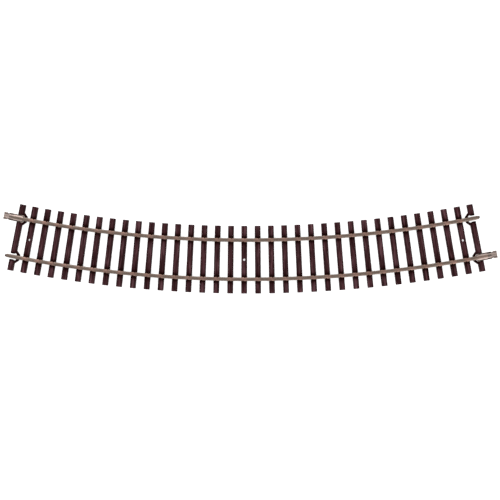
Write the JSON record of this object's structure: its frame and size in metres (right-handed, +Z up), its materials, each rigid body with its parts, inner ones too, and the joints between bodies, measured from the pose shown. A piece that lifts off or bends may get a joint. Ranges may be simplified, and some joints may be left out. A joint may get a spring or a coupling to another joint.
{
  "type": "model railway track section",
  "caption": "Curved model railway track section: a moulded tie strip holding two metal rails, with a folded rail joiner on one rail at each end.",
  "frame": {"origin": "middle of the section's box, in the plane that the undersides of the ties rest on", "axes": "+X along the chord of the curve, from the end whose inner rail carries a joiner to the end whose outer rail carries one; +Y towards the centre of the curve; +Z up, from the ties to the railheads"},
  "size_m": [0.228, 0.0414, 0.004],
  "materials": {
    "ties": "moulded dark brown plastic with wood grain",
    "rails": null,
    "joiners": null
  },
  "bodies": {
    "track": {"tie_strip": "ties", "inner_rail": "rails", "outer_rail": "rails"},
    "inner_joiner": {"inner_rail_joiner": "joiners"},
    "outer_joiner": {"outer_rail_joiner": "joiners"}
  },
  "joints": [
    {"name": "inner_joiner_slide", "type": "slide", "parent": "track", "child": "inner_joiner", "axis": [-0.9808, 0.1951, 0], "range_m": [-0.0028, 0.0046]},
    {"name": "outer_joiner_slide", "type": "slide", "parent": "track", "child": "outer_joiner", "axis": [0.9808, 0.1951, 0], "range_m": [-0.0028, 0.0046]}
  ]
}
